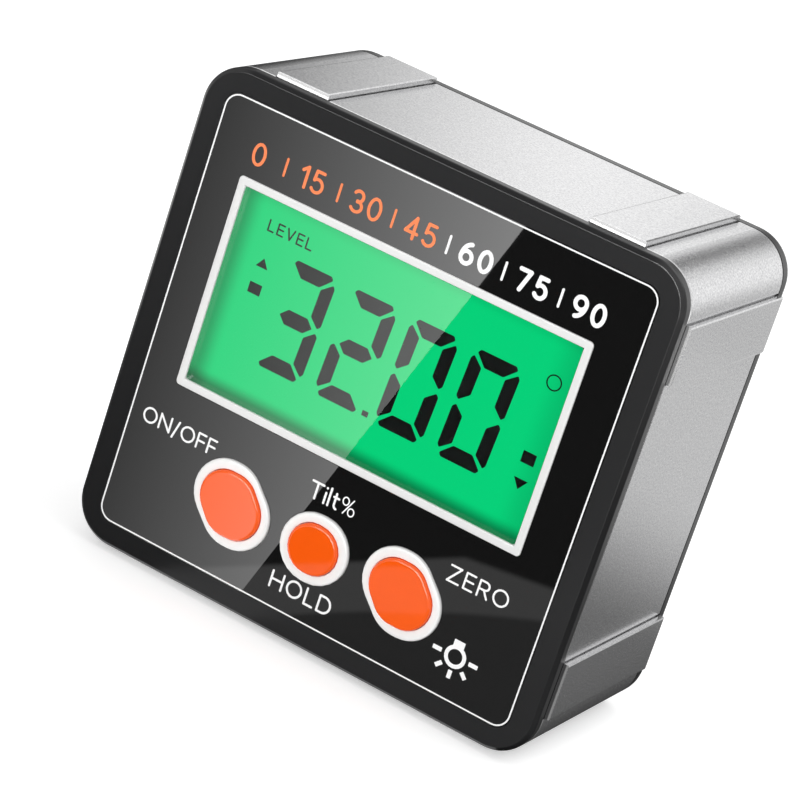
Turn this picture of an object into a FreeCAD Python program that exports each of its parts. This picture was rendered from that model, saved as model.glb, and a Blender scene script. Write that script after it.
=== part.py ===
import FreeCAD, Part

import math
import os

# A digital inclinometer in millimetres. X runs across the front, Z is up, and the front faces -Y.
# The origin is the bottom centre of the whole object. Depths are counted from the front face back,
# and "up" is counted from the centre of the case.

# Case
case_width = 63.3
case_height = 60.3
case_depth = 30.5
case_corner = 5.3
case_wall = 2.2
bezel_rim = 1.8
cover_rim = 2.4
spigot_gap = 0.1
spigot_wall = 1.3
spigot_length = 3.0
cover_flat = 1.2
parting_chamfer = 0.15

# Lands: two raised reference pads on each side of the extrusion
land_rise = 0.7
land_width = 7.0
land_offset = 20.7
land_root = 1.0
land_end_chamfer = 0.08
land_ease_width = 0.2
land_ease_depth = 0.08
land_groove_width = 0.2
land_groove_depth = 0.25

# Screw ports in the corners of the extrusion
port_x = 27.1
port_up = 25.6
port_radius = 2.6
port_web = 2.5
port_clearance = 0.15
pilot_radius = 1.0

# Face panel and display, with edges counted from the centre of the case
panel_half_width = 28.6
panel_half_height = 27.2
panel_corner = 1.9
panel_thickness = 1.2
panel_gap = 0.05
bezel_floor = 2.5
bezel_slope = 0.5
bezel_front_round = 0.15
bezel_outer_round = 0.35
frame_left = -23.91
frame_right = 23.14
frame_low = -7.68
frame_high = 18.54
frame_corner = 0.5
frame_inner_corner = 0.3
frame_width = 1.05
frame_stand = 0.1
window_sink = 0.1
lcd_left = -24.6
lcd_right = 23.9
lcd_low = -8.2
lcd_high = 20.6
lcd_front = 1.3
lcd_middle = 2.4
lcd_back = 3.5
lcd_corner = 0.4
lcd_gap = 0.15
lcd_terminal_ledge = 2.0

# Keys: centre of each, and the outline of its cap and of its collar. An outline has the vector
# between the middles of its two ends, how far each end is spread sideways from a circle, and the
# radius of its arcs
slanted_cap = {"reach": (0.96, -1.1), "spread": 0.44, "radius": 3.3}
slanted_collar = {"reach": (1.6, -1.6), "spread": 0.28, "radius": 4.28}
round_cap = {"reach": (0.5, 0.0), "spread": 0.0, "radius": 3.0}
round_collar = {"reach": (0.6, 0.0), "spread": 0.0, "radius": 4.2}
keys = {
    "power": {"x": -12.2, "up": -17.94, "cap": slanted_cap, "collar": slanted_collar},
    "hold": {"x": -0.6, "up": -18.08, "cap": round_cap, "collar": round_collar},
    "zero": {"x": 11.36, "up": -17.97, "cap": slanted_cap, "collar": slanted_collar},
}
key_stand = 0.9
key_round = 0.55
key_gap = 0.12
key_flange = 0.6
key_flange_front = 3.25
key_flange_back = 3.85
key_stem_radius = 1.2
collar_stand = 0.45
collar_round = 0.3
collar_flange = 0.7
collar_flange_back = 3.1
switch_size = 6.0
switch_corner = 0.3
switch_front = 5.3
switch_well = 6.6
switch_hole_radius = 1.05
plunger_front = 4.6
plunger_back = 6.0
plunger_radius = 0.95
boot_top_radius = 1.9
boot_foot_radius = 2.5
boot_wall = 0.5

# Circuit board and what stands on it
pcb_front = 7.9
pcb_back = 9.5
pcb_half_width = 28.9
pcb_half_height = 27.3
pcb_notch_x = 24.0
pcb_notch_up = 22.5
standoffs = [(-19.8, -24.6), (19.8, -24.6), (-14.0, 24.4), (14.0, 24.4)]
standoff_radius = 1.9
screw_radius = 0.95
clearance_radius = 1.1
holder_margin = 1.1
holder_ledge = 0.9
holder_front = 2.55
guide_left = -22.6
guide_right = 22.9
guide_low = -7.6
guide_high = 17.6
guide_front = 3.6
guide_back = 6.1
reflector_thickness = 0.2
lamps_up = (0.0, 10.0)
lamp_left = -23.65
lamp_width = 1.0
lamp_height = 3.0
lamp_front = 4.1
zebra_half_length = 20.0
zebra_low = 18.75
zebra_high = 20.05
chip_x = -8.0
chip_up = 2.0
chip_size = 9.0
chip_height = 1.5
chip_pins = 8
chip_pitch = 0.9
pin_width = 0.4
pin_reach = 1.0
pin_height = 0.2
sensor_left = 6.0
sensor_low = 2.0
sensor_size = 4.0
sensor_height = 1.1
sensor_mark_radius = 0.25
sensor_mark_inset = 0.7
sensor_mark_sink = 0.1
crystal_left = 4.0
crystal_low = -8.0
crystal_length = 10.0
crystal_width = 4.4
crystal_corner = 2.1
crystal_height = 3.2
# x, up, radius and height of each capacitor
capacitor_cans = [(17.5, 12.0, 2.0, 4.0), (17.5, 6.0, 2.0, 4.0), (-16.5, 12.5, 1.6, 3.0)]

# Seals
seal_inset = 0.7
seal_width = 1.0
seal_thickness = 0.6
door_seal_offset = 0.4

# Screws: head sizes, lengths, and a cross recess in proportion to the head
front_head = 1.35
front_head_height = 0.55
front_screw_length = 7.0
rear_head = 1.7
rear_head_height = 0.9
rear_head_sink = 0.1
rear_screw_length = 10.0
door_screw_length = 6.5
pan_head = 1.8
pan_head_height = 1.1
board_screw_length = 5.0
head_gap = 0.1
recess_arm = 0.6
recess_width = 0.28
recess_sink = 0.6

# Battery compartment and its door
tray_half_width = 25.6
tray_half_height = 12.1
tray_corner = 1.0
tray_wall = 1.1
tray_front = 15.9
tray_floor = 16.9
tray_frame_front = 26.4
cell_radius = 5.25
cell_length = 44.5
cell_up = 5.6
cell_depth = 22.2
cell_round = 0.4
nipple_radius = 1.9
nipple_length = 0.8
contact_thickness = 0.3
contact_half = 4.3
contact_tab_front = 15.0
contact_tab_half = 1.0
contact_tab_gap = 0.05
bridge_gap = 0.3
spring_wire = 0.35
spring_turns = 4.0
spring_base_radius = 3.7
spring_tip_radius = 2.3
spring_end_gap = 0.05
door_half_width = 27.6
door_half_height = 18.6
door_corner = 2.5
door_thickness = 2.0
door_gap = 0.3
door_seat_gap = 0.05
door_chamfer = 0.3
door_frame_margin = 1.0
door_screw_up = 15.9
insert_radius = 1.9
insert_bore = 1.1
insert_front = 22.5
insert_well_front = 22.0
boss_radius = 3.0
boss_front = 21.0
pad_front = 27.7
pad_half_width = 18.0
pad_half_height = 7.5
wire_radius = 0.45
wire_bend = 1.2
wire_start = 15.6
wire_crossing = 12.6
wire_pad_x = -20.5

# Base magnets
magnet_radius = 2.5
magnet_height = 2.0
magnet_sink = 0.1
magnet_depths = (8.5, 21.5)
magnet_gap = 0.05

# Places that follow from the sizes above
half_width = case_width / 2
half_height = case_height / 2
cover_front = case_depth - cover_rim
door_front = case_depth - door_thickness
centre_z = land_rise + half_height
face_y = key_stand - (case_depth + key_stand) / 2
base_up = -half_height - land_rise
backward = FreeCAD.Vector(0, 1, 0)
tiny = 1e-4


def at(x, depth, up):
    return FreeCAD.Vector(x, face_y + depth, centre_z + up)


# Outlines are lists of arcs (x, up, radius, first angle, last angle) in degrees, joined by lines.
def rectangle(left, right, low, high, corner):
    return [
        (right - corner, high - corner, corner, 0, 90),
        (left + corner, high - corner, corner, 90, 180),
        (left + corner, low + corner, corner, 180, 270),
        (right - corner, low + corner, corner, 270, 360),
    ]


def centred(half_x, half_up, corner):
    return rectangle(-half_x, half_x, -half_up, half_up, corner)


def case_outline(inset):
    return centred(half_width - inset, half_height - inset, case_corner - inset)


def slot_outline(key, part, grow):
    # the outline of a key's cap or collar, grown by a distance
    x, up, shape = key["x"], key["up"], key[part]
    half_x, half_up = shape["reach"][0] / 2, shape["reach"][1] / 2
    spread, radius = shape["spread"], shape["radius"] + grow
    slant = math.degrees(math.atan2(half_up, half_x))
    arcs = [
        (x + half_x + spread, up + half_up, radius, -90, slant + 90),
        (x - half_x + spread, up - half_up, radius, slant + 90, 90),
        (x - half_x - spread, up - half_up, radius, 90, slant + 270),
        (x + half_x - spread, up + half_up, radius, slant + 270, 270),
    ]
    return [arc for arc in arcs if arc[4] - arc[3] > tiny]


def arc_point(x, up, radius, angle, depth):
    turn = math.radians(angle)
    return at(x + radius * math.cos(turn), depth, up + radius * math.sin(turn))


def prism(outline, front, back):
    edges = []
    ends = []
    for x, up, radius, first, last in outline:
        middle = (first + last) / 2
        start, halfway, end = [arc_point(x, up, radius, angle, front) for angle in (first, middle, last)]
        edges.append(Part.Arc(start, halfway, end).toShape())
        ends.append((start, end))
    for index, (start, end) in enumerate(ends):
        next_start = ends[(index + 1) % len(ends)][0]
        edges.append(Part.makeLine(end, next_start))
    face = Part.Face(Part.Wire(Part.__sortEdges__(edges)))
    return face.extrude(backward * (back - front))


def ring(outer, inner, front, back):
    return prism(outer, front, back).cut(prism(inner, front, back))


def block(left, right, low, high, front, back):
    return Part.makeBox(right - left, back - front, high - low, at(left, front, low))


def post(x, up, radius, front, back):
    return Part.makeCylinder(radius, back - front, at(x, front, up), backward)


def cone(x, up, front_radius, back_radius, front, back):
    return Part.makeCone(front_radius, back_radius, back - front, at(x, front, up), backward)


def edges_at_depth(solid, depth):
    level = face_y + depth
    return [edge for edge in solid.Edges if all(abs(v.Y - level) < tiny for v in edge.Vertexes)]


# Screws. inward is +1 for a screw driven from the front and -1 for one driven from the rear.
def cross_recess(x, up, depth, inward, head, height):
    arm = head * recess_arm
    half = head * recess_width / 2
    front, back = sorted((depth, depth + inward * height * recess_sink))
    across = block(x - arm, x + arm, up - half, up + half, front, back)
    along = block(x - half, x + half, up - arm, up + arm, front, back)
    return across.fuse(along)


def countersunk_head(x, up, depth, inward, radius, height, neck):
    tip = depth + inward * height
    if inward > 0:
        return cone(x, up, radius, neck, depth, tip)
    return cone(x, up, neck, radius, tip, depth)


def countersunk_screw(x, up, depth, inward, head, height, length):
    front, back = sorted((depth, depth + inward * length))
    shank = post(x, up, screw_radius, front, back)
    solid = countersunk_head(x, up, depth, inward, head, height, screw_radius).fuse(shank)
    return solid.cut(cross_recess(x, up, depth, inward, head, height))


def pan_screw(x, up, seat, head, height, length):
    solid = post(x, up, head, seat, seat + height).fuse(post(x, up, screw_radius, seat - length, seat))
    return solid.cut(cross_recess(x, up, seat + height, -1, head, height))


def port_places():
    return [(side * port_x, level * port_up) for side in (-1, 1) for level in (-1, 1)]


def port(x, up, front, back, grow):
    # a round boss with a square web behind it that fills the corner
    reach = port_web + grow
    left, right = sorted((x, x + math.copysign(reach, x)))
    low, high = sorted((up, up + math.copysign(reach, up)))
    return post(x, up, port_radius + grow, front, back).fuse(block(left, right, low, high, front, back))


def land(turn, distance, offset):
    # a pad whose long top edges are eased by a wide and shallow slope
    half, low, high = land_width / 2, distance - land_root, distance + land_rise
    profile = [(-half, low), (half, low), (half, high - land_ease_depth), (half - land_ease_width, high),
               (land_ease_width - half, high), (-half, high - land_ease_depth)]
    corners = [at(offset + x, bezel_rim, up) for x, up in profile]
    pad = Part.Face(Part.makePolygon(corners + corners[:1])).extrude(backward * (cover_front - bezel_rim))
    top = centre_z + high
    ends = [edge for edge in pad.Edges if level_at(edge, "Z", top) and level_at(edge, "Y", None)]
    pad = pad.makeChamfer(land_end_chamfer, ends)
    pad.rotate(at(0, 0, 0), backward, turn)
    return pad


def level_at(edge, axis, value):
    # whether an edge lies level along one axis, and at a given value where there is one
    ends = [getattr(vertex, axis) for vertex in edge.Vertexes]
    return max(ends) - min(ends) < tiny and (value is None or abs(ends[0] - value) < tiny)


def land_grooves(turn, distance, offset):
    # a narrow relief groove along each side of a land
    grooves = []
    for side in (-1, 1):
        edge = offset + side * land_width / 2
        left, right = sorted((edge, edge + side * land_groove_width))
        groove = block(left, right, distance - land_groove_depth, distance + land_rise, bezel_rim, cover_front)
        groove.rotate(at(0, 0, 0), backward, turn)
        grooves.append(groove)
    return grooves


def extruded_frame():
    body = prism(case_outline(0), bezel_rim, cover_front)
    ends = edges_at_depth(body, bezel_rim) + edges_at_depth(body, cover_front)
    body = body.makeChamfer(parting_chamfer, ends)
    lands, grooves = [], []
    for turn, distance in ((0, half_height), (180, half_height), (90, half_width), (270, half_width)):
        for offset in (-land_offset, land_offset):
            lands.append(land(turn, distance, offset))
            grooves += land_grooves(turn, distance, offset)
    body = body.fuse(lands).cut(grooves)
    body = body.cut(prism(case_outline(case_wall), bezel_rim, cover_front))
    body = body.fuse([port(x, up, bezel_rim, cover_front, 0) for x, up in port_places()])
    holes = [post(x, up, pilot_radius, bezel_rim, cover_front) for x, up in port_places()]
    pockets = [magnet_disc(x, depth, magnet_gap, 0) for x, depth in magnet_places()]
    return body.cut(holes + pockets).removeSplitter()


def magnet_places():
    return [(side * land_offset, depth) for side in (-1, 1) for depth in magnet_depths]


def magnet_disc(x, depth, gap, sink):
    height = magnet_height + magnet_sink - sink
    return Part.makeCylinder(magnet_radius + gap, height, at(x, depth, base_up + sink))


def base_magnets():
    return Part.makeCompound([magnet_disc(x, depth, 0, magnet_sink) for x, depth in magnet_places()])


def lcd_outline(gap):
    return rectangle(lcd_left - gap, lcd_right + gap, lcd_low - gap, lcd_high + gap, lcd_corner)


def frame_outline(inset):
    corner = max(frame_corner - inset, frame_inner_corner)
    return rectangle(frame_left + inset, frame_right - inset, frame_low + inset, frame_high - inset, corner)


def front_bezel():
    rim = prism(case_outline(0), 0, bezel_rim)
    rim = rim.makeChamfer(bezel_slope, edges_at_depth(rim, 0))
    rim = rim.makeFillet(bezel_front_round, edges_at_depth(rim, 0))
    rim = rim.makeFillet(bezel_outer_round, edges_at_depth(rim, bezel_slope))
    rim = rim.makeChamfer(parting_chamfer, edges_at_depth(rim, bezel_rim))
    spigot_outline = case_outline(case_wall + spigot_gap)
    floor = prism(spigot_outline, bezel_rim, bezel_floor)
    inner = case_outline(case_wall + spigot_gap + spigot_wall)
    spigot = ring(spigot_outline, inner, bezel_floor, bezel_floor + spigot_length)
    legs = [post(x, up, standoff_radius, bezel_floor, pcb_front) for x, up in standoffs]
    body = rim.fuse([floor, spigot] + legs)
    pocket = centred(panel_half_width + panel_gap, panel_half_height + panel_gap, panel_corner + panel_gap)
    cuts = [prism(pocket, 0, panel_thickness)]
    cuts.append(prism(lcd_outline(lcd_gap), 0, bezel_floor))
    for key in keys.values():
        cuts.append(prism(slot_outline(key, "collar", panel_gap), 0, bezel_floor))
    for x, up in port_places():
        head = front_head + panel_gap
        cuts.append(port(x, up, bezel_rim, bezel_floor + spigot_length, port_clearance))
        cuts.append(post(x, up, clearance_radius, panel_thickness, bezel_rim))
        cuts.append(countersunk_head(x, up, panel_thickness, 1, head, front_head_height, clearance_radius))
    for x, up in standoffs:
        cuts.append(post(x, up, pilot_radius, pcb_back - board_screw_length - 1, pcb_front))
    cuts.append(case_seal(bezel_rim - seal_thickness, bezel_rim))
    return body.cut(cuts).removeSplitter()


def face_panel():
    panel = prism(centred(panel_half_width, panel_half_height, panel_corner), 0, panel_thickness)
    cuts = [prism(frame_outline(-panel_gap), 0, panel_thickness)]
    for key in keys.values():
        cuts.append(prism(slot_outline(key, "collar", panel_gap), 0, panel_thickness))
    return panel.cut(cuts)


def display_frame():
    return ring(frame_outline(0), frame_outline(frame_width), -frame_stand, panel_thickness)


def display_window():
    return prism(frame_outline(frame_width), window_sink, panel_thickness)


def lcd_cell():
    # the rear glass stops short at the top and leaves the terminals bare for the elastomer strip
    front_glass = prism(lcd_outline(0), lcd_front, lcd_middle)
    short_outline = rectangle(lcd_left, lcd_right, lcd_low, lcd_high - lcd_terminal_ledge, lcd_corner)
    rear_glass = prism(short_outline, lcd_middle, lcd_back)
    return front_glass.fuse(rear_glass)


def lcd_holder():
    outer = lcd_outline(holder_margin)
    walls = ring(outer, lcd_outline(lcd_gap), holder_front, lcd_back)
    ledge = ring(outer, lcd_outline(-holder_ledge / 2), lcd_back, pcb_front)
    return walls.fuse(ledge).removeSplitter()


def guide_block(front, back):
    return block(guide_left, guide_right, guide_low, guide_high, front, back)


def light_guide():
    return guide_block(guide_front, guide_back)


def backlight_reflector():
    return guide_block(guide_back, guide_back + reflector_thickness)


def backlight_leds():
    lamps = []
    for up in lamps_up:
        low = up - lamp_height / 2
        lamps.append(block(lamp_left, lamp_left + lamp_width, low, low + lamp_height, lamp_front, pcb_front))
    return Part.makeCompound(lamps)


def zebra_strip():
    return block(-zebra_half_length, zebra_half_length, zebra_low, zebra_high, lcd_middle, pcb_front)


def key_collar(key):
    sleeve = prism(slot_outline(key, "collar", 0), -collar_stand, bezel_floor)
    flange = prism(slot_outline(key, "collar", collar_flange), bezel_floor, collar_flange_back)
    hole = prism(slot_outline(key, "cap", key_gap), -collar_stand, collar_flange_back)
    collar = sleeve.fuse(flange).cut(hole)
    return collar.makeFillet(collar_round, edges_at_depth(collar, -collar_stand))


def key_cap(key):
    cap = prism(slot_outline(key, "cap", 0), -key_stand, key_flange_front)
    cap = cap.makeFillet(key_round, edges_at_depth(cap, -key_stand))
    flange = prism(slot_outline(key, "cap", key_flange), key_flange_front, key_flange_back)
    stem = post(key["x"], key["up"], key_stem_radius, key_flange_back, plunger_front)
    return cap.fuse([flange, stem]).removeSplitter()


def key_boot(key):
    x, up = key["x"], key["up"]
    top, foot = boot_top_radius, boot_foot_radius
    outside = cone(x, up, top, foot, key_flange_back, switch_front)
    inside = cone(x, up, top - boot_wall, foot - boot_wall, key_flange_back, switch_front)
    return outside.cut(inside)


def key_switch(key):
    x, up, half = key["x"], key["up"], switch_size / 2
    outline = rectangle(x - half, x + half, up - half, up + half, switch_corner)
    housing = prism(outline, switch_front, pcb_front)
    return housing.cut(post(x, up, switch_hole_radius, switch_front, switch_well))


def key_plunger(key):
    return post(key["x"], key["up"], plunger_radius, plunger_front, plunger_back)


def case_seal(front, back):
    return ring(case_outline(seal_inset), case_outline(seal_inset + seal_width), front, back)


def front_screws():
    screws = [countersunk_screw(x, up, panel_thickness, 1, front_head, front_head_height, front_screw_length)
              for x, up in port_places()]
    return Part.makeCompound(screws)


def rear_countersink(x, up, gap):
    height = rear_head_height + rear_head_sink
    return countersunk_head(x, up, case_depth, -1, rear_head + gap, height, clearance_radius)


def rear_screws():
    top = case_depth - rear_head_sink
    screws = [countersunk_screw(x, up, top, -1, rear_head, rear_head_height, rear_screw_length)
              for x, up in port_places()]
    return Part.makeCompound(screws)


def main_pcb():
    board = block(-pcb_half_width, pcb_half_width, -pcb_half_height, pcb_half_height, pcb_front, pcb_back)
    cuts = [post(x, up, clearance_radius, pcb_front, pcb_back) for x, up in standoffs]
    for side in (-1, 1):
        for level in (-1, 1):
            left, right = sorted((side * pcb_notch_x, side * pcb_half_width))
            low, high = sorted((level * pcb_notch_up, level * pcb_half_height))
            cuts.append(block(left, right, low, high, pcb_front, pcb_back))
    return board.cut(cuts)


def pcb_screws():
    return Part.makeCompound([
        pan_screw(x, up, pcb_back, pan_head, pan_head_height, board_screw_length) for x, up in standoffs])


def tilt_sensor():
    right = sensor_left + sensor_size
    high = sensor_low + sensor_size
    back = pcb_back + sensor_height
    body = block(sensor_left, right, sensor_low, high, pcb_back, back)
    mark_x = sensor_left + sensor_mark_inset
    mark_up = high - sensor_mark_inset
    return body.cut(post(mark_x, mark_up, sensor_mark_radius, back - sensor_mark_sink, back))


def microcontroller():
    half = chip_size / 2
    low, high = chip_up - half, chip_up + half
    body = block(chip_x - half, chip_x + half, low, high, pcb_back, pcb_back + chip_height)
    pins = []
    for index in range(chip_pins):
        along = (index - (chip_pins - 1) / 2) * chip_pitch
        left = chip_x + along - pin_width / 2
        for turn in (0, 90, 180, 270):
            right = left + pin_width
            pin = block(left, right, high - pin_width, high + pin_reach, pcb_back, pcb_back + pin_height)
            pin.rotate(at(chip_x, 0, chip_up), backward, turn)
            pins.append(pin)
    return body.fuse(pins)


def clock_crystal():
    right = crystal_left + crystal_length
    high = crystal_low + crystal_width
    outline = rectangle(crystal_left, right, crystal_low, high, crystal_corner)
    return prism(outline, pcb_back, pcb_back + crystal_height)


def capacitors():
    return Part.makeCompound([
        post(x, up, radius, pcb_back, pcb_back + tall) for x, up, radius, tall in capacitor_cans])


def door_outline(grow):
    return centred(door_half_width + grow, door_half_height + grow, door_corner + grow)


def tray_outline(grow):
    return centred(tray_half_width + grow, tray_half_height + grow, tray_corner)


def door_seal():
    back = door_front - door_seat_gap
    front = back - seal_thickness
    return ring(tray_outline(door_seal_offset + seal_width), tray_outline(door_seal_offset), front, back)


def rear_cover():
    plate = prism(case_outline(0), cover_front, case_depth)
    plate = plate.makeFillet(cover_rim - cover_flat, edges_at_depth(plate, case_depth))
    plate = plate.makeChamfer(parting_chamfer, edges_at_depth(plate, cover_front))
    spigot_outline = case_outline(case_wall + spigot_gap)
    inner = case_outline(case_wall + spigot_gap + spigot_wall)
    spigot = ring(spigot_outline, inner, cover_front - spigot_length, cover_front)
    thick = prism(door_outline(door_frame_margin), tray_frame_front, cover_front)
    tray = prism(tray_outline(tray_wall), tray_front, cover_front)
    bosses = [post(0, side * door_screw_up, boss_radius, boss_front, cover_front) for side in (-1, 1)]
    body = plate.fuse([spigot, thick, tray] + bosses)
    seat = door_front - door_seat_gap
    cuts = [prism(tray_outline(0), tray_floor, case_depth)]
    cuts.append(prism(door_outline(door_gap), seat, case_depth))
    cuts.append(door_seal())
    cuts.append(case_seal(cover_front, cover_front + seal_thickness))
    for side in (-1, 1):
        cuts.append(post(0, side * door_screw_up, insert_radius, insert_well_front, seat))
        cuts.append(contact_tab(side * cell_up, contact_tab_gap))
    for x, up in port_places():
        cuts.append(port(x, up, cover_front - spigot_length, cover_front, port_clearance))
        cuts.append(post(x, up, clearance_radius, cover_front, case_depth))
        cuts.append(rear_countersink(x, up, head_gap))
    return body.cut(cuts).removeSplitter()


def battery_door():
    door = prism(door_outline(0), door_front, case_depth)
    door = door.makeChamfer(door_chamfer, edges_at_depth(door, case_depth))
    cuts = []
    for side in (-1, 1):
        cuts.append(post(0, side * door_screw_up, clearance_radius, door_front, case_depth))
        cuts.append(rear_countersink(0, side * door_screw_up, 2 * head_gap))
    return door.cut(cuts)


def door_screw(side):
    top = case_depth - rear_head_sink
    up = side * door_screw_up
    return countersunk_screw(0, up, top, -1, rear_head, rear_head_height, door_screw_length)


def screw_inserts():
    sleeves = []
    for side in (-1, 1):
        up = side * door_screw_up
        sleeve = post(0, up, insert_radius, insert_front, cover_front)
        sleeves.append(sleeve.cut(post(0, up, insert_bore, insert_front, cover_front)))
    return Part.makeCompound(sleeves)


def battery_pad():
    return block(-pad_half_width, pad_half_width, -pad_half_height, pad_half_height, pad_front, door_front)


def battery_cell(side):
    # the upper cell has its positive end at the right, the lower one at the left
    start = at(side * (tray_half_width - contact_thickness), cell_depth, side * cell_up)
    along = FreeCAD.Vector(-side, 0, 0)
    nipple = Part.makeCylinder(nipple_radius, nipple_length, start, along)
    can = Part.makeCylinder(cell_radius, cell_length - nipple_length, start + along * nipple_length, along)
    can = can.makeFillet(cell_round, [edge for edge in can.Edges if len(edge.Vertexes) == 1])
    return can.fuse(nipple)


def contact_tab(up, grow):
    left = -tray_half_width - grow
    right = -tray_half_width + contact_thickness + grow
    half = contact_tab_half + grow
    return block(left, right, up - half, up + half, contact_tab_front, tray_floor + grow)


def battery_contacts():
    front = tray_floor + bridge_gap
    back = cell_depth + contact_half
    plates = []
    for side in (-1, 1):
        up = side * cell_up
        plate = block(-tray_half_width, -tray_half_width + contact_thickness, up - contact_half,
                      up + contact_half, tray_floor, back)
        plates.append(plate.fuse(contact_tab(up, 0)).removeSplitter())
    reach = cell_up + contact_half
    plates.append(block(tray_half_width - contact_thickness, tray_half_width, -reach, reach, front, back))
    return Part.makeCompound(plates)


def battery_spring(side):
    # a conical coil from the contact plate to the negative end of the cell
    room = 2 * (tray_half_width - contact_thickness) - cell_length
    height = room - 2 * (spring_wire + spring_end_gap)
    taper = math.degrees(math.atan2(spring_base_radius - spring_tip_radius, height))
    path = Part.makeHelix(height / spring_turns, height, spring_tip_radius, taper)
    start = FreeCAD.Vector(spring_tip_radius, 0, 0)
    section = Part.Wire(Part.makeCircle(spring_wire, start, FreeCAD.Vector(0, 1, 0)))
    coil = Part.Wire(path).makePipeShell([section], True, True)
    reach = tray_half_width - contact_thickness - spring_wire - spring_end_gap
    coil.rotate(FreeCAD.Vector(0, 0, 0), FreeCAD.Vector(0, 1, 0), -90 * side)
    coil.translate(at(-side * (reach - height), cell_depth, side * cell_up))
    return coil


def battery_springs():
    return Part.makeCompound([battery_spring(-1), battery_spring(1)])


def battery_wire(side):
    # from the contact's tab towards the board, across, and down to the board
    up = side * cell_up
    tab_x = -tray_half_width + contact_thickness + wire_radius + contact_tab_gap
    pad_x = wire_pad_x
    cross = wire_crossing
    bend = wire_bend
    slant = bend * (1 - math.sqrt(0.5))
    first = at(tab_x, wire_start, up)
    path = [
        Part.makeLine(first, at(tab_x, cross + bend, up)),
        Part.Arc(at(tab_x, cross + bend, up), at(tab_x + slant, cross + slant, up),
                 at(tab_x + bend, cross, up)).toShape(),
        Part.makeLine(at(tab_x + bend, cross, up), at(pad_x - bend, cross, up)),
        Part.Arc(at(pad_x - bend, cross, up), at(pad_x - slant, cross - slant, up),
                 at(pad_x, cross - bend, up)).toShape(),
        Part.makeLine(at(pad_x, cross - bend, up), at(pad_x, pcb_back, up)),
    ]
    section = Part.Wire(Part.makeCircle(wire_radius, first, backward))
    return Part.Wire(path).makePipeShell([section], True, True)


def write(node, shape):
    shape.exportStep(os.path.join("parts", node + ".step"))
    print(node, shape.ShapeType, len(shape.Solids), "valid" if shape.isValid() else "NOT VALID",
          round(shape.Volume, 2))


def main():
    os.makedirs("parts", exist_ok=True)
    nodes = {
        "front_bezel": front_bezel(),
        "face_panel": face_panel(),
        "display_frame": display_frame(),
        "display_window": display_window(),
        "lcd_cell": lcd_cell(),
        "lcd_holder": lcd_holder(),
        "light_guide": light_guide(),
        "backlight_reflector": backlight_reflector(),
        "backlight_leds": backlight_leds(),
        "zebra_strip": zebra_strip(),
        "front_gasket": case_seal(bezel_rim - seal_thickness, bezel_rim),
        "extruded_frame": extruded_frame(),
        "rear_gasket": case_seal(cover_front, cover_front + seal_thickness),
        "rear_cover": rear_cover(),
        "front_screws": front_screws(),
        "rear_screws": rear_screws(),
        "base_magnets": base_magnets(),
        "main_pcb": main_pcb(),
        "pcb_screws": pcb_screws(),
        "tilt_sensor": tilt_sensor(),
        "microcontroller": microcontroller(),
        "clock_crystal": clock_crystal(),
        "capacitors": capacitors(),
        "battery_cell_upper": battery_cell(1),
        "battery_cell_lower": battery_cell(-1),
        "battery_contacts": battery_contacts(),
        "battery_springs": battery_springs(),
        "red_wire": battery_wire(1),
        "black_wire": battery_wire(-1),
        "battery_door": battery_door(),
        "door_gasket": door_seal(),
        "battery_pad": battery_pad(),
        "door_screw_upper": door_screw(1),
        "door_screw_lower": door_screw(-1),
        "screw_inserts": screw_inserts(),
    }
    for name, key in keys.items():
        nodes[name + "_key_collar"] = key_collar(key)
        nodes[name + "_key"] = key_cap(key)
        nodes[name + "_key_boot"] = key_boot(key)
        nodes[name + "_switch"] = key_switch(key)
        nodes[name + "_switch_plunger"] = key_plunger(key)
    for node, shape in nodes.items():
        write(node, shape)


main()
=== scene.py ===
import math

import bmesh
import bpy
import numpy as np
from mathutils import Matrix, Vector


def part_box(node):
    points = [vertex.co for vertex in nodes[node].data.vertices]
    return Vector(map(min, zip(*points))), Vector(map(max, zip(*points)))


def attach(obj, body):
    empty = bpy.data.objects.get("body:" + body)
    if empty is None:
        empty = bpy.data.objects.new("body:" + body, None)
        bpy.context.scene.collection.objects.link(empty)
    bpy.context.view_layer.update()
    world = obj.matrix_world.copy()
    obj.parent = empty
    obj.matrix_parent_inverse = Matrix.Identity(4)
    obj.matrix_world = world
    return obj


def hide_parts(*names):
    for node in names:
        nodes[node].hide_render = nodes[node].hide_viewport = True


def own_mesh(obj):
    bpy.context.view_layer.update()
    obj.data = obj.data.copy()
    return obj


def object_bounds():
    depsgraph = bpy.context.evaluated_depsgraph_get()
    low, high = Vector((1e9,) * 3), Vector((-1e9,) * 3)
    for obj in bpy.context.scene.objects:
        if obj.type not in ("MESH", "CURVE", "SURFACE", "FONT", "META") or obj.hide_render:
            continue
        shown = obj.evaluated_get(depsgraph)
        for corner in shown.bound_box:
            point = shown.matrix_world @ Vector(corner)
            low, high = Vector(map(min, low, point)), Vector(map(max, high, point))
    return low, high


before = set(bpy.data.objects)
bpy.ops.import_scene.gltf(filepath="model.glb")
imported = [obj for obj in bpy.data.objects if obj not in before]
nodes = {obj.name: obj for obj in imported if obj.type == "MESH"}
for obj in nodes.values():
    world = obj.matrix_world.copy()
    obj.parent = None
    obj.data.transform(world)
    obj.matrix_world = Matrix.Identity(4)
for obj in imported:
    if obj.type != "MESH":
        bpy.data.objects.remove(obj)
cadLow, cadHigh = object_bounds()
print("frame loaded:", len(nodes), "nodes")

# Sizes below are in millimetres. x runs across the front face and up is counted from its centre;
# depth is counted from the front plane of the bezel back.
mm = 0.001
bezelLow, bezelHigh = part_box("front_bezel")
faceY = bezelLow.y / mm
centreUp = (bezelLow.z + bezelHigh.z) / 2 / mm
mergeDistance = 1e-8
sharpAngle = 40


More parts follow.
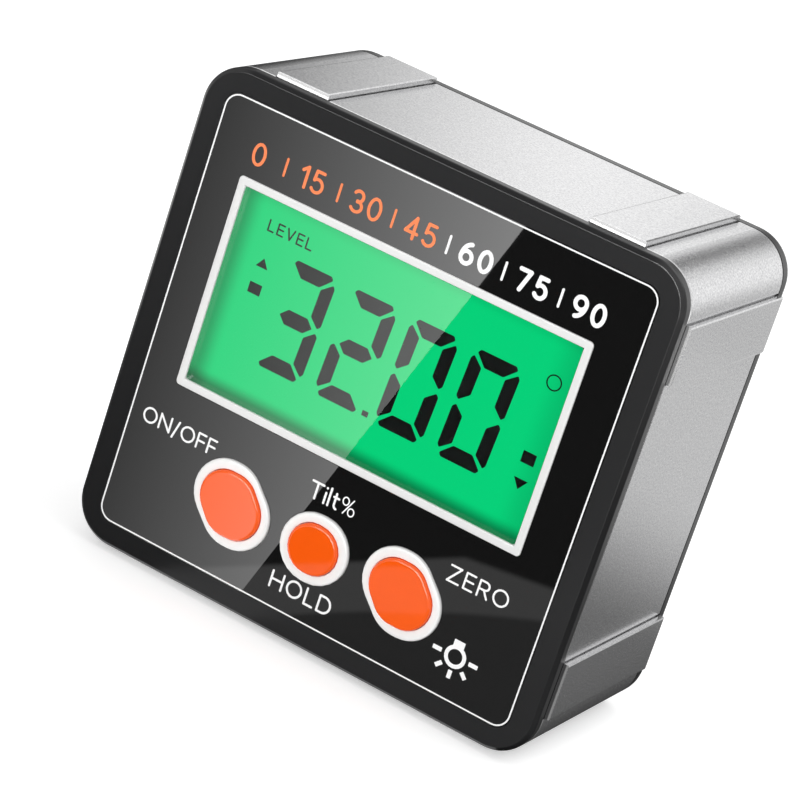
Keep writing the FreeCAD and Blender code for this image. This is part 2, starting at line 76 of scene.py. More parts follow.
def onFace(x, depth, up):
    # places counted from the centre of the front face, as metres in the frame
    x, depth, up = np.broadcast_arrays(x, depth, up)
    return np.stack([x, faceY + depth, centreUp + up], axis=-1) * mm


def gridQuads(rows, columns, wrapRows=False, wrapColumns=False):
    # the four corners of every cell of a grid of points that is counted row by row
    row = np.arange(rows if wrapRows else rows - 1)[:, None]
    column = np.arange(columns if wrapColumns else columns - 1)[None, :]
    nextRow, nextColumn = (row + 1) % rows, (column + 1) % columns
    corners = np.broadcast_arrays(row * columns + column, row * columns + nextColumn,
                                  nextRow * columns + nextColumn, nextRow * columns + column)
    return np.stack(corners, axis=-1).reshape(-1, 4)


def makeMesh(name, grids):
    # grids holds pairs of points and quads, which become one mesh with closed seams
    points, quads, start = [], [], 0
    for gridPoints, gridFaces in grids:
        points.append(gridPoints.reshape(-1, 3))
        quads.append(gridFaces + start)
        start += len(points[-1])
    mesh = bpy.data.meshes.new(name)
    mesh.from_pydata(np.concatenate(points).tolist(), [], np.concatenate(quads).tolist())
    shell = bmesh.new()
    shell.from_mesh(mesh)
    bmesh.ops.remove_doubles(shell, verts=shell.verts, dist=mergeDistance)
    bmesh.ops.recalc_face_normals(shell, faces=shell.faces)
    shell.to_mesh(mesh)
    shell.free()
    mesh.polygons.foreach_set("use_smooth", np.ones(len(mesh.polygons), dtype=bool))
    mesh.set_sharp_from_angle(angle=math.radians(sharpAngle))
    return mesh


def addObject(name, data):
    item = bpy.data.objects.new(name, data)
    bpy.context.scene.collection.objects.link(item)
    return item


def addPiece(name, grids, material, body, slot, *replaced):
    # material is the name of one that is already made
    mesh = makeMesh(name, grids)
    mesh.materials.append(bpy.data.materials[material])
    piece = addObject(name, mesh)
    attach(piece, body)
    if replaced:
        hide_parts(*replaced)
    return piece


def unit(vectors):
    return vectors / np.linalg.norm(vectors, axis=-1, keepdims=True)


def roundedLoop(box, inset, corner, least=0.02, steps=9):
    # a rectangle whose corners are quarter circles, drawn in from the box by inset; the corners'
    # radius shrinks with it, down to least
    left, right, low, high = box
    radius = max(corner - inset, least)
    turn = np.radians(np.linspace(0, 90, steps))
    centreX = np.array([right, left, left, right]) + np.array([-1, 1, 1, -1]) * (inset + radius)
    centreUpward = np.array([high, high, low, low]) + np.array([-1, -1, 1, 1]) * (inset + radius)
    quarter = np.radians([0, 90, 180, 270])[:, None] + turn[None, :]
    x = centreX[:, None] + radius * np.cos(quarter)
    up = centreUpward[:, None] + radius * np.sin(quarter)
    return np.stack([x.ravel(), up.ravel()], axis=1)


def slotLoop(key, radius, steps=13):
    # two arcs of one radius round each end of the key, their centres a little apart sideways, or one
    # arc where there is no spread
    halfX, halfUp = np.array(key["reach"]) / 2
    spread = key["spread"]
    slant = math.degrees(math.atan2(halfUp, halfX))
    if spread:
        arcs = [(halfX + spread, halfUp, -90, slant + 90), (spread - halfX, -halfUp, slant + 90, 90),
                (-halfX - spread, -halfUp, 90, slant + 270), (halfX - spread, halfUp, slant + 270, 270)]
    else:
        arcs = [(halfX, halfUp, -90, 90), (-halfX, -halfUp, 90, 270)]
    centreX, centreUpward, first, last = np.array(arcs).T[:, :, None]
    turn = np.radians(first + (last - first) * np.linspace(0, 1, steps))
    x = key["x"] + centreX + radius * np.cos(turn)
    up = key["up"] + centreUpward + radius * np.sin(turn)
    return np.stack([x.ravel(), up.ravel()], axis=1)


def sweepLoops(loops, depths, closedSection):
    # a section carried round a closed outline: loop i lies at depth i
    points = onFace(np.stack(loops)[:, :, 0], np.array(depths)[:, None], np.stack(loops)[:, :, 1])
    return points, gridQuads(len(loops), loops[0].shape[0], closedSection, True)


def quarterRound(inset, depth, radius, first, last, steps=6):
    # a quarter circle in a section, as rows of inset and depth about its centre
    turn = np.radians(np.linspace(first, last, steps))
    return [(inset + radius * c, depth + radius * s) for c, s in zip(np.cos(turn), np.sin(turn))]


def strokeGrid(path, width, front, back, closed, steps=6):
    # a flat bar of even width along a path; each open end closes in a half circle
    if closed:
        half = np.full(len(path), width / 2)
        along = unit(np.roll(path, -1, axis=0) - np.roll(path, 1, axis=0))
    else:
        turn = np.radians(np.linspace(90 / steps, 90, steps))
        reach, narrow = np.sin(turn) * width / 2, np.cos(turn) * width / 2
        head = path[0] + unit(path[0] - path[1]) * reach[::-1, None]
        tail = path[-1] + unit(path[-1] - path[-2]) * reach[:, None]
        half = np.concatenate([narrow[::-1], np.full(len(path), width / 2), narrow])
        path = np.concatenate([head, path, tail])
        along = unit(np.gradient(path, axis=0))
    across = np.stack([-along[:, 1], along[:, 0]], axis=1)
    side = np.array([-1, -1, 1, 1])[None, :] * half[:, None]
    x = path[:, :1] + across[:, :1] * side
    up = path[:, 1:] + across[:, 1:] * side
    points = onFace(x, np.array([back, front, front, back]), up)
    return points, gridQuads(len(path), 4, closed, True)


def plateGrid(corners, radius, front, back, steps=5):
    # a flat plate over a convex outline whose corners are eased by quadratic curves; radius is one
    # number, or one for each corner
    corners = np.array(corners, float)
    radius = np.broadcast_to(radius, len(corners))[:, None]
    start = corners + unit(np.roll(corners, 1, axis=0) - corners) * radius
    end = corners + unit(np.roll(corners, -1, axis=0) - corners) * radius
    t = np.linspace(0, 1, steps)[None, :, None]
    outline = (1 - t) ** 2 * start[:, None] + 2 * t * (1 - t) * corners[:, None] + t ** 2 * end[:, None]
    outline = outline.reshape(-1, 2)
    middle = np.repeat(corners.mean(axis=0)[None], len(outline), axis=0)
    return sweepLoops([middle, outline, outline, middle], [front, front, back, back], False)


def toLinear(colour):
    # an sRGB hex colour as the linear RGBA that the shaders take
    values = [int(colour[i:i + 2], 16) / 255 for i in (1, 3, 5)]
    return [v / 12.92 if v <= 0.04045 else ((v + 0.055) / 1.055) ** 2.4 for v in values] + [1.0]


def addNode(tree, kind, inputs, **settings):
    # inputs maps a socket's name or number to a value or to the output that feeds it
    node = tree.nodes.new(kind)
    for name, value in settings.items():
        setattr(node, name, value)
    for socket, value in inputs.items():
        if isinstance(value, bpy.types.NodeSocket):
            tree.links.new(value, node.inputs[socket])
        else:
            node.inputs[socket].default_value = value
    return node


def calculate(tree, operation, *values):
    return addNode(tree, "ShaderNodeMath", dict(enumerate(values)), operation=operation).outputs[0]


def mapRange(tree, value, given=(0.0, 1.0), wanted=(0.0, 1.0), curve="LINEAR"):
    inputs = {0: value, 1: given[0], 2: given[1], 3: wanted[0], 4: wanted[1]}
    return addNode(tree, "ShaderNodeMapRange", inputs, interpolation_type=curve).outputs[0]


def mixTones(tree, share, *tones):
    # the first tone where the share is 0 and the second where it is 1; each a hex colour or an output
    tones = [toLinear(tone) if isinstance(tone, str) else tone for tone in tones]
    return addNode(tree, "ShaderNodeMix", {0: share, 6: tones[0], 7: tones[1]}, data_type="RGBA").outputs[2]


def mixValues(tree, share, first, second):
    return addNode(tree, "ShaderNodeMix", {0: share, 2: first, 3: second}).outputs[0]


def addNoise(tree, place, size, detail):
    inputs = {"Vector": place, "Scale": 1 / (size * mm), "Detail": detail}
    return addNode(tree, "ShaderNodeTexNoise", inputs).outputs[0]


def addRelief(tree, height, distance, strength=1.0):
    inputs = {"Height": height, "Distance": distance * mm, "Strength": strength}
    return addNode(tree, "ShaderNodeBump", inputs).outputs[0]


def startMaterial(name):
    material = bpy.data.materials.new(name)
    material.use_nodes = True
    tree = material.node_tree
    tree.nodes.clear()
    return tree, addNode(tree, "ShaderNodeTexCoord", {}).outputs["Object"]


def addSurface(tree, inputs):
    surface = addNode(tree, "ShaderNodeBsdfPrincipled", inputs).outputs[0]
    addNode(tree, "ShaderNodeOutputMaterial", {"Surface": surface})


def grainyMaterial(name, look, pale, dark, grain, bump, roughness, stretch=(1, 1, 1)):
    # pale and dark are the two tones of a faint mottle, grain is the size of one grain in mm,
    # bump its height in mm, roughness the range that the same grain gives the gloss
    broadSize, leastShare = 12.0, 0.25
    tree, place = startMaterial(name)
    scaled = addNode(tree, "ShaderNodeMapping", {"Vector": place, "Scale": stretch}).outputs[0]
    fine = addNoise(tree, scaled, grain, detail=3.0)
    broad = addNoise(tree, place, broadSize, detail=2.0)
    share = calculate(tree, "MULTIPLY_ADD", fine, broad, leastShare)
    addSurface(tree, {**look, "Base Color": mixTones(tree, share, dark, pale),
                      "Roughness": mapRange(tree, fine, wanted=roughness),
                      "Normal": addRelief(tree, fine, bump)})


# Each row is named for the material and how it was made, and holds what grainyMaterial takes. The
# comments say what the eye sees.
grainyLooks = {
    # spark-eroded mould: an even satin with a soft sheen and no reflections
    "satinMouldedAbs": ({"IOR": 1.46}, "#1b1b1c", "#151516", 0.22, 0.002, (0.27, 0.35)),
    # polished sheet, printed black on its back: deep black with sharp reflections
    "backPrintedAcrylic": ({"IOR": 1.55}, "#131313", "#101010", 1.6, 0.0002, (0.0, 0.02)),
    # polished moulds: white with a soft gloss, a shade greyer round the window, and glossy orange
    "glossWhiteAbs": ({"IOR": 1.5}, "#f9f9f8", "#f4f4f3", 0.8, 0.0004, (0.2, 0.28)),
    "satinWhiteAbs": ({"IOR": 1.5}, "#e9e9e8", "#e4e4e3", 0.8, 0.0004, (0.25, 0.35)),
    "glossOrangeAbs": ({"IOR": 1.5}, "#ff5f0e", "#fc5c0c", 0.9, 0.0002, (0.03, 0.07)),
    # printed and cured: flat white and orange with a slight mottle
    "whiteScreenInk": ({"IOR": 1.45}, "#ffffff", "#f8f8f8", 0.3, 0.0005, (0.35, 0.5)),
    "orangeScreenInk": ({"IOR": 1.45}, "#ff8a50", "#f87c42", 0.3, 0.0005, (0.35, 0.5)),
    # near black, no gloss of its own
    "darkLiquidCrystal": ({"Specular IOR Level": 0.0}, "#1f1f1f", "#1c1c1c", 0.5, 0.0004, (0.5, 0.6)),
    # milky and soft
    "mouldedSilicone": ({"IOR": 1.41, "Transmission Weight": 0.25}, "#dcdcd6", "#cfcfc8", 0.4, 0.002,
                        (0.45, 0.6)),
    # dull black with a faint bloom
    "mouldedNitrileRubber": ({"IOR": 1.5}, "#1d1d1d", "#101010", 0.3, 0.004, (0.65, 0.8)),
    # open grey cells about 0.5 mm across
    "cutPolyetherFoam": ({"IOR": 1.4}, "#6b6b6d", "#333335", 0.5, 0.08, (0.85, 1.0)),
    # switch parts, matt and half matt
    "mouldedBlackNylon": ({"IOR": 1.52}, "#232324", "#161617", 0.25, 0.003, (0.5, 0.62)),
    "mouldedGreyAcetal": ({"IOR": 1.48}, "#3a3a3c", "#2e2e30", 0.3, 0.001, (0.25, 0.35)),
    # the backlight: white holder, milky guide, white film, pale yellow lamps
    "mouldedWhitePolystyrene": ({"IOR": 1.55}, "#f0f0ec", "#e4e4de", 0.5, 0.001, (0.3, 0.4)),
    "frostedAcrylicGuide": ({"IOR": 1.49, "Transmission Weight": 0.6}, "#dff3e6", "#cfe8d8", 0.4, 0.002,
                            (0.3, 0.45)),
    "voidedPolyesterFilm": ({"IOR": 1.6}, "#f8f8f8", "#eeeeee", 0.6, 0.0006, (0.2, 0.35)),
    "mouldedLampPackage": ({"IOR": 1.54}, "#e9f2d8", "#d9e6c2", 0.5, 0.0008, (0.15, 0.25)),
    # bright with a faint blue cast
    "zincPlatedSteel": ({"Metallic": 1.0}, "#d4d6da", "#b8bcc4", 0.25, 0.003, (0.22, 0.34)),
    # dark with a metal gloss on its edges
    "blackZincSteel": ({"Metallic": 0.7}, "#3a3b3e", "#232427", 0.25, 0.003, (0.3, 0.42)),
    # smooth, slightly warm
    "nickelPlate": ({"Metallic": 1.0}, "#dcd8d0", "#c6c2b8", 0.6, 0.0008, (0.14, 0.24)),
    # knurled: fine streaks along its length
    "turnedBrass": ({"Metallic": 1.0}, "#e6c36a", "#c49a48", 0.3, 0.003, (0.25, 0.38), (1, 0.1, 1)),
    # chips: matt charcoal with fine filler
    "filledEpoxy": ({"IOR": 1.55}, "#2a2a2d", "#1a1a1c", 0.12, 0.003, (0.45, 0.6)),
    # smooth sleeves, and the skins of the leads
    "shrunkDarkSleeve": ({"IOR": 1.5}, "#242a3a", "#1a1f2d", 0.8, 0.002, (0.2, 0.3)),
    "extrudedRedPvc": ({"IOR": 1.53}, "#c8201a", "#ad1712", 0.4, 0.002, (0.3, 0.42)),
    "extrudedBlackPvc": ({"IOR": 1.53}, "#1b1b1b", "#101010", 0.4, 0.002, (0.3, 0.42)),
}
for name, look in grainyLooks.items():
    grainyMaterial(name, *look)


# contrast is the part of the noise that carries the tones; the facing range picks surfaces that face forward
# enough, which take a smoother finish and the paler end tone, a painted highlight
metalLook = {"pale": "#dedede", "dark": "#b6b6b8", "end": "#f2f2f2", "grain": 0.22, "bump": 0.003,
             "contrast": (0.3, 0.7), "roughness": (0.2, 0.28), "endRoughness": 0.1, "cut": (-0.6, -0.9)}


def blastedAluminium(look):
    # aluminium, extruded, bead blasted and clear anodised: a fine even grain that scatters light.
    # The real grain is about 0.08 mm; it is drawn at 0.22 mm so that it shows. Surfaces that face
    # forward are smooth and take a paler tone, a painted highlight
    tree, place = startMaterial("beadBlastedAnodisedAluminium")
    fine = addNoise(tree, place, look["grain"], detail=2.0)
    tone = mixTones(tree, mapRange(tree, fine, look["contrast"]), look["dark"], look["pale"])
    normal = addNode(tree, "ShaderNodeTexCoord", {}).outputs["Normal"]
    facing = addNode(tree, "ShaderNodeSeparateXYZ", {0: normal}).outputs[1]
    cut = mapRange(tree, facing, look["cut"])
    blasted = calculate(tree, "SUBTRACT", 1.0, cut)
    gloss = mixValues(tree, cut, mapRange(tree, fine, wanted=look["roughness"]), look["endRoughness"])
    # forward faces take the paler end tone as a painted highlight, and a smoother finish
    addSurface(tree, {"Metallic": 1.0, "Base Color": mixTones(tree, cut, tone, look["end"]),
                      "Roughness": gloss, "Normal": addRelief(tree, fine, look["bump"], blasted)})


def stripedElastomer(pitch=0.5):
    # silicone layered with carbon: a pale strip crossed by thin dark layers
    unitPitch = 0.314      # metres from band to band of a wave texture whose scale is 1
    tree, place = startMaterial("layeredElastomer")
    bands = addNode(tree, "ShaderNodeTexWave", {"Vector": place, "Scale": unitPitch / (pitch * mm)},
                    bands_direction="X")
    tone = mixTones(tree, bands.outputs[1], "#d8a8b0", "#2c2a2c")
    addSurface(tree, {"Roughness": 0.55, "IOR": 1.41, "Base Color": tone})


def maskedBoard():
    # glass epoxy under green solder mask: paler copper tracks show through, 0.3 mm wide
    tree, place = startMaterial("greenMaskedBoard")
    flat = addNode(tree, "ShaderNodeMapping", {"Vector": place, "Rotation": (math.pi / 2, 0, 0)}).outputs[0]
    tracks = addNode(tree, "ShaderNodeTexBrick", {"Vector": flat, "Scale": 1.0, "Mortar Size": 0.15 * mm,
                     "Brick Width": 5.5 * mm, "Row Height": 1.3 * mm, "Color1": toLinear("#0d5a2c"),
                     "Color2": toLinear("#0b5027"), "Mortar": toLinear("#2f8f55")})
    addSurface(tree, {"Roughness": 0.3, "IOR": 1.55, "Base Color": tracks.outputs[0],
                      "Normal": addRelief(tree, tracks.outputs[1], 0.03)})


def cellWrap(bandFrom=13.9, bandTo=14.1, canFrom=24.1, canTo=24.15):
    # printed film over a steel can: grey-green body, a pale band towards each positive end, and the
    # bare can past it. Seen from the front, the upper cell's positive end is at the right and the
    # lower cell's at the left
    tree, place = startMaterial("printedCellFilm")
    axes = addNode(tree, "ShaderNodeSeparateXYZ", {0: place}).outputs
    sign = calculate(tree, "SIGN", calculate(tree, "SUBTRACT", axes[2], centreUp * mm))
    towardPlus = calculate(tree, "MULTIPLY", axes[0], sign)
    film = mixTones(tree, mapRange(tree, towardPlus, (bandFrom * mm, bandTo * mm)), "#4f6f68", "#dfe3df")
    can = mapRange(tree, towardPlus, (canFrom * mm, canTo * mm))
    tone = mixTones(tree, can, film, "#c9c9c6")
    addSurface(tree, {"Metallic": 0.35, "Roughness": 0.28, "Base Color": tone})


def coatedWindow():
    # acrylic, clear and polished, with a coating that cuts its reflections
    tree, _ = startMaterial("coatedClearAcrylic")
    addSurface(tree, {"Base Color": (1, 1, 1, 1), "Roughness": 0.0, "IOR": 1.42, "Transmission Weight": 1.0})


def litCrystal(look, box):
    # liquid crystal glass lit from behind: an even green, darkened near the edges of the window by painted
    # shade from the frame round it
    tree, place = startMaterial("litLiquidCrystal")
    axes = addNode(tree, "ShaderNodeSeparateXYZ", {0: place}).outputs
    bright = 1.0
    # each fall is painted shade: the frame's shadow on the green, drawn as a ramp in from one side of the
    # window
    for axis, side, inwards, least in look["paintedFrameShade"]:
        ends = (box[side] * mm, (box[side] + inwards) * mm)
        shadeRamp = mapRange(tree, axes[axis], ends, (least, 1.0), "SMOOTHSTEP")
        bright = calculate(tree, "MULTIPLY", shadeRamp, bright)
    glow = mixTones(tree, bright, "#000000", look["green"])
    addSurface(tree, {"Base Color": toLinear("#020403"), "Roughness": 0.5, "Specular IOR Level": 0.0,
                      "Emission Strength": 1.0, "Emission Color": glow})


blastedAluminium(metalLook)
stripedElastomer()
maskedBoard()
cellWrap()
coatedWindow()
print("materials made")

# each fall of painted shade, the frame's shadow drawn on the green: its axis, the side of the window's box,
# how far in the green is full, and the share left at the side
display = {
    "green": "#02d67c", "paintedFrameShade": [(0, 0, 2.8, 0.5), (0, 1, -4.0, 0.78), (2, 2, 2.0, 0.32), (2, 3, -1.6, 0.86)],
    "figures": "3200", "depths": (1.262, 1.296), "cornerEase": 0.17, "tipEase": 0.12,
    "digitHeight": 13.42, "digitWidth": 6.36, "slant": math.tan(math.radians(2.5)),
    "firstDigitX": -15.615, "digitPitch": 8.225, "digitLow": -1.47,
}

lowCorner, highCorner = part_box("display_frame")
frameBox = (lowCorner.x / mm, highCorner.x / mm, lowCorner.z / mm - centreUp, highCorner.z / mm - centreUp)
windowLow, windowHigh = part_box("display_window")
windowBox = (windowLow.x / mm, windowHigh.x / mm, windowLow.z / mm, windowHigh.z / mm)
litCrystal(display, windowBox)


def digitSegments(look):
    # the seven bars of an upright digit, lettered a to g, as outlines from its lower left corner
    width, height = look["digitWidth"], look["digitHeight"]
    middle = height / 2
    bar = [(0.86, height), (width - 0.86, height), (width - 0.56, height - 0.42),
           (width - 1.93, height - 1.81), (1.93, height - 1.81), (0.56, height - 0.42)]
    post = [(width, 1.3), (width, 6.05), (width - 0.38, 6.42), (width - 1.6, 5.36), (width - 1.62, 2.0),
            (width - 0.29, 0.9)]
    centre = [(0.98, middle), (1.9, middle + 0.915), (width - 1.9, middle + 0.915), (width - 0.98, middle),
              (width - 1.9, middle - 0.915), (1.9, middle - 0.915)]

    def turned(outline, flipX, flipUp):
        return [(width - x if flipX else x, height - up if flipUp else up) for x, up in outline]

    return {"a": bar, "b": turned(post, False, True), "c": post, "d": turned(bar, False, True),
            "e": turned(post, True, False), "f": turned(post, True, True), "g": centre}


litBars = {"0": "abcdef", "2": "abdeg", "3": "abcdg"}


def displayFigures(look):
    bars = digitSegments(look)
    grids = []
    for index, figure in enumerate(look["figures"]):
        left = look["firstDigitX"] + index * look["digitPitch"]
        for name in litBars[figure]:
            outline = [(left + x + up * look["slant"], look["digitLow"] + up) for x, up in bars[name]]
            ease = look["tipEase"] if name == "g" else look["cornerEase"]
            grids.append(plateGrid(outline, ease, *look["depths"]))
    return grids


def rectangleCorners(left, right, low, high):
    return [(left, low), (right, low), (right, high), (left, high)]


# small signs of the display: two pointers, two blocks and the decimal point
signEase = 0.03
displaySigns = [
    [(-19.09, 9.245), (-17.51, 9.245), (-18.29, 10.37)],
    rectangleCorners(-19.14, -17.49, 5.97, 7.27),
    rectangleCorners(19.14, 20.83, 2.25, 3.63),
    [(19.06, 0.38), (19.92, -0.86), (20.84, 0.38)],
    rectangleCorners(-0.79, 0.0, -1.3, -0.66),
]
degreeRing = {"x": 19.86, "up": 12.15, "radius": 0.88, "stroke": 0.16}

# Lettering is drawn with single strokes that have round ends. A letter is one unit high. A stroke is
# a row of points (x, up) and of arcs (x, up, radius across, radius up, first angle, last angle).
glyphs = {
    "O": (0.98, [[(0.49, 0.5, 0.49, 0.5, 90, 450)]]),
    "N": (0.84, [[(0, 0), (0, 1)], [(0, 1), (0.84, 0)], [(0.84, 0), (0.84, 1)]]),
    "/": (0.32, [[(0, -0.17), (0.32, 1)]]),
    "F": (0.56, [[(0, 0), (0, 1)], [(0, 1), (0.56, 1)], [(0, 0.5), (0.52, 0.5)]]),
    "H": (0.8, [[(0, 0), (0, 1)], [(0.8, 0), (0.8, 1)], [(0, 0.52), (0.8, 0.52)]]),
    "L": (0.57, [[(0, 1), (0, 0)], [(0, 0), (0.57, 0)]]),
    "D": (0.81, [[(0, 0), (0, 1)], [(0, 1), (0.33, 1), (0.33, 0.5, 0.48, 0.5, 90, -90), (0, 0)]]),
    "Z": (0.78, [[(0.03, 1), (0.76, 1)], [(0.76, 1), (0, 0)], [(0, 0), (0.78, 0)]]),
    "E": (0.6, [[(0, 0), (0, 1)], [(0, 1), (0.6, 1)], [(0, 0.52), (0.56, 0.52)], [(0, 0), (0.6, 0)]]),
    "R": (0.69, [[(0, 0), (0, 1)], [(0, 1), (0.38, 1), (0.38, 0.74, 0.28, 0.26, 90, -90), (0, 0.48)],
                 [(0.36, 0.48), (0.69, 0)]]),
    "V": (0.72, [[(0, 1), (0.36, 0)], [(0.36, 0), (0.72, 1)]]),
    "T": (0.76, [[(0, 1), (0.76, 1)], [(0.38, 1), (0.38, 0)]]),
    "i": (0.02, [[(0, 0), (0, 0.66)], [(0, 0.95), (0, 0.97)]]),
    "l": (0.02, [[(0, 0), (0, 1.07)]]),
    "t": (0.34, [[(0.12, 0.9), (0.12, 0.22), (0.32, 0.22, 0.2, 0.22, 180, 265)], [(0, 0.66), (0.34, 0.66)]]),
    "%": (0.9, [[(0.2, 0.76, 0.2, 0.24, 90, 450)], [(0.7, 0.24, 0.2, 0.24, 90, 450)],
                [(0.7, 1), (0.2, 0)]]),
    "0": (0.6, [[(0.3, 0.5, 0.3, 0.5, 90, 450)]]),
    "1": (0.26, [[(0, 0.78), (0.26, 1)], [(0.26, 1), (0.26, 0)]]),
    "3": (0.56, [[(0.27, 0.74, 0.25, 0.26, 150, -90)], [(0.27, 0.26, 0.29, 0.26, 90, -150)]]),
    "4": (0.62, [[(0.44, 0), (0.44, 1)], [(0.44, 1), (0, 0.27)], [(0, 0.27), (0.62, 0.27)]]),
    "5": (0.56, [[(0.5, 1), (0.1, 1)], [(0.1, 1), (0.06, 0.55)], [(0.26, 0.32, 0.3, 0.32, 132, -145)]]),
    "6": (0.6, [[(0.3, 0.31, 0.3, 0.31, 90, 450)], [(0.5, 0.31, 0.5, 0.69, 180, 98)]]),
    "7": (0.56, [[(0, 1), (0.56, 1)], [(0.56, 1), (0.2, 0)]]),
    "9": (0.6, [[(0.3, 0.69, 0.3, 0.31, 90, 450)], [(0.1, 0.69, 0.5, 0.69, 0, -82)]]),
}
thinStrokes = {"%": 0.6}      # share of a word's stroke that a glyph is drawn with
arcSteps = 22
strokeStep = 0.0006      # each stroke stands this much prouder, so that crossings stay clean


def strokePath(parts):
    samples = []
    for part in parts:
        if len(part) == 2:
            samples.append(np.array([part], float))
            continue
        x, up, radiusX, radiusUp, first, last = part
        turn = np.radians(np.linspace(first, last, arcSteps))
        samples.append(np.stack([x + radiusX * np.cos(turn), up + radiusUp * np.sin(turn)], axis=1))
    path = np.concatenate(samples)
    closed = len(path) > 2 and np.allclose(path[0], path[-1])
    return (path[:-1] if closed else path), closed


def wordGrids(word, left, right, low, high, stroke, depths):
    # the letters keep their shape, and the gaps share what the width leaves
    size = high - low - stroke
    widths = [glyphs[letter][0] * size for letter in word]
    gap = (right - left - stroke - sum(widths)) / max(len(word) - 1, 1)
    start = left + stroke / 2
    grids = []
    for letter, width in zip(word, widths):
        for parts in glyphs[letter][1]:
            path, closed = strokePath(parts)
            lift = strokeStep * len(grids)
            path = path * size + np.array([start, low + stroke / 2])
            thickness = stroke * thinStrokes.get(letter, 1)
            grids.append(strokeGrid(path, thickness, depths[0] - lift, depths[1] - lift, closed))
        start += width + gap
    return grids


def ringGrid(look, front, back):
    circle = strokePath([(look["x"], look["up"], look["radius"], look["radius"], 0, 360)])[0]
    return strokeGrid(circle, look["stroke"], front, back, True)


levelWord = {"left": -19.1, "right": -13.0, "low": 13.54, "high": 14.99, "stroke": 0.19}
displayPieces = {
    "lcd_figures": displayFigures(display),
    "lcd_signs": [plateGrid(corners, signEase, *display["depths"]) for corners in displaySigns],
    "lcd_degree_ring": [ringGrid(degreeRing, *display["depths"])],
    "lcd_word": wordGrids("LEVEL", depths=display["depths"], **levelWord),
}
for name, grids in displayPieces.items():
    addPiece(name, grids, "darkLiquidCrystal", "case", "lcd_glass")

# white frame round the window: a bar with rounded edges carried round the opening
frameRing = {"width": 1.0, "corner": 0.5, "stand": 0.1, "depth": 1.2, "round": 0.14}


def frameGrid(look):
    rounding, top = look["round"], -look["stand"]
    section = [(0, look["depth"])]
    section += quarterRound(rounding, top + rounding, rounding, 180, 270)
    section += quarterRound(look["width"] - rounding, top + rounding, rounding, 270, 360)
    section += [(look["width"], look["depth"])]
    loops = [roundedLoop(frameBox, inset, look["corner"]) for inset, _ in section]
    return sweepLoops(loops, [depth for _, depth in section], True)


addPiece("display_surround", [frameGrid(frameRing)], "satinWhiteAbs", "case", "white_abs",
         "display_frame")
print("display made")

keyLook = {"stand": 0.9, "crown": 0.012, "crownSteps": 9, "round": 0.34, "roundFirst": -88,
           "roundSteps": 12, "gap": 0.06, "flange": 0.6, "flangeFront": 3.25, "flangeBack": 3.85,
           "stemRadius": 1.2, "stemBack": 4.6, "stemOverlap": 0.05}
collarLook = {"stand": 0.45, "outerRound": 0.3, "innerRound": 0.14, "flange": 0.7, "flangeFront": 2.5,
              "flangeBack": 3.1}
# a boot's wall, as radius and depth; it stands on the switch and gives way when the key is pressed
bootLook = {"switchFront": 5.3, "press": 0.5,
            "wall": [(1.42, 3.93), (1.5, 3.87), (1.84, 3.87), (1.93, 3.93), (2.5, 5.3), (2.0, 5.3)]}
slantedCap = {"radius": 3.3, "spread": 0.44}
slantedCollar = {"radius": 4.28, "spread": 0.28}
roundCap = {"radius": 3.0, "spread": 0.0}
roundCollar = {"radius": 4.2, "spread": 0.0}
keyShapes = {"power": (slantedCap, slantedCollar), "hold": (roundCap, roundCollar),
             "zero": (slantedCap, slantedCollar)}


def keyPlace(node, shape, flange):
    # centre of a cap or collar and the vector between its two round ends, from the size of its flange
    low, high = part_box(node)
    span = (high - low) / mm
    around = 2 * (shape["radius"] + flange)
    return {"x": (low.x + high.x) / 2 / mm, "up": (low.z + high.z) / 2 / mm - centreUp,
            "spread": shape["spread"], "radius": shape["radius"],
            "reach": (span.x - around - 2 * shape["spread"], around - span.z)}


def roundAt(key):
    return dict(key, reach=(0.0, 0.0), spread=0.0)


def keyGrids(key, look):
    # the crown is the flat's outline shrunk to its centre, and falls with the square of the share;
    # a quarter round follows it
    centre, radius = np.array([key["x"], key["up"]]), key["radius"]
    flat = slotLoop(key, radius - look["round"])
    share = np.linspace(0, 1, look["crownSteps"])
    loops = [centre + (flat - centre) * s for s in share]
    depths = [-look["stand"] + look["crown"] * s * s for s in share]
    rim = -look["stand"] + look["crown"] + look["round"]
    section = quarterRound(radius - look["round"], rim, look["round"], look["roundFirst"], 0,
                           look["roundSteps"])
    section += [(radius, look["flangeFront"]), (radius + look["flange"], look["flangeFront"]),
                (radius + look["flange"], look["flangeBack"])]
    loops += [slotLoop(key, r) for r, _ in section]
    depths += [d for _, d in section]
    loops.append(np.broadcast_to(centre, flat.shape))
    depths.append(look["flangeBack"])
    post = roundAt(key)
    stemFront, stemBack = look["flangeBack"] - look["stemOverlap"], look["stemBack"]
    stemRadii = [0, look["stemRadius"], look["stemRadius"], 0]
    stem = sweepLoops([slotLoop(post, r) for r in stemRadii], [stemFront, stemFront, stemBack, stemBack],
                      False)
    return [sweepLoops(loops, depths, False), stem]


def collarGrid(cap, collar, gap, look):
    # a ring whose hole follows the cap and whose outside follows its own outline
    top, big, small = -look["stand"], look["outerRound"], look["innerRound"]
    inner, outer = cap["radius"] + gap, collar["radius"]
    section = [(cap, inner, look["flangeBack"])]
    section += [(cap, inner + small - r, d) for r, d in quarterRound(0, top + small, small, 0, -90)]
    section += [(collar, outer - big + r, d) for r, d in quarterRound(0, top + big, big, -90, 0)]
    section += [(collar, outer, look["flangeFront"]), (collar, outer + look["flange"], look["flangeFront"]),
                (collar, outer + look["flange"], look["flangeBack"])]
    return sweepLoops([slotLoop(outline, r) for outline, r, _ in section], [d for _, _, d in section], True)


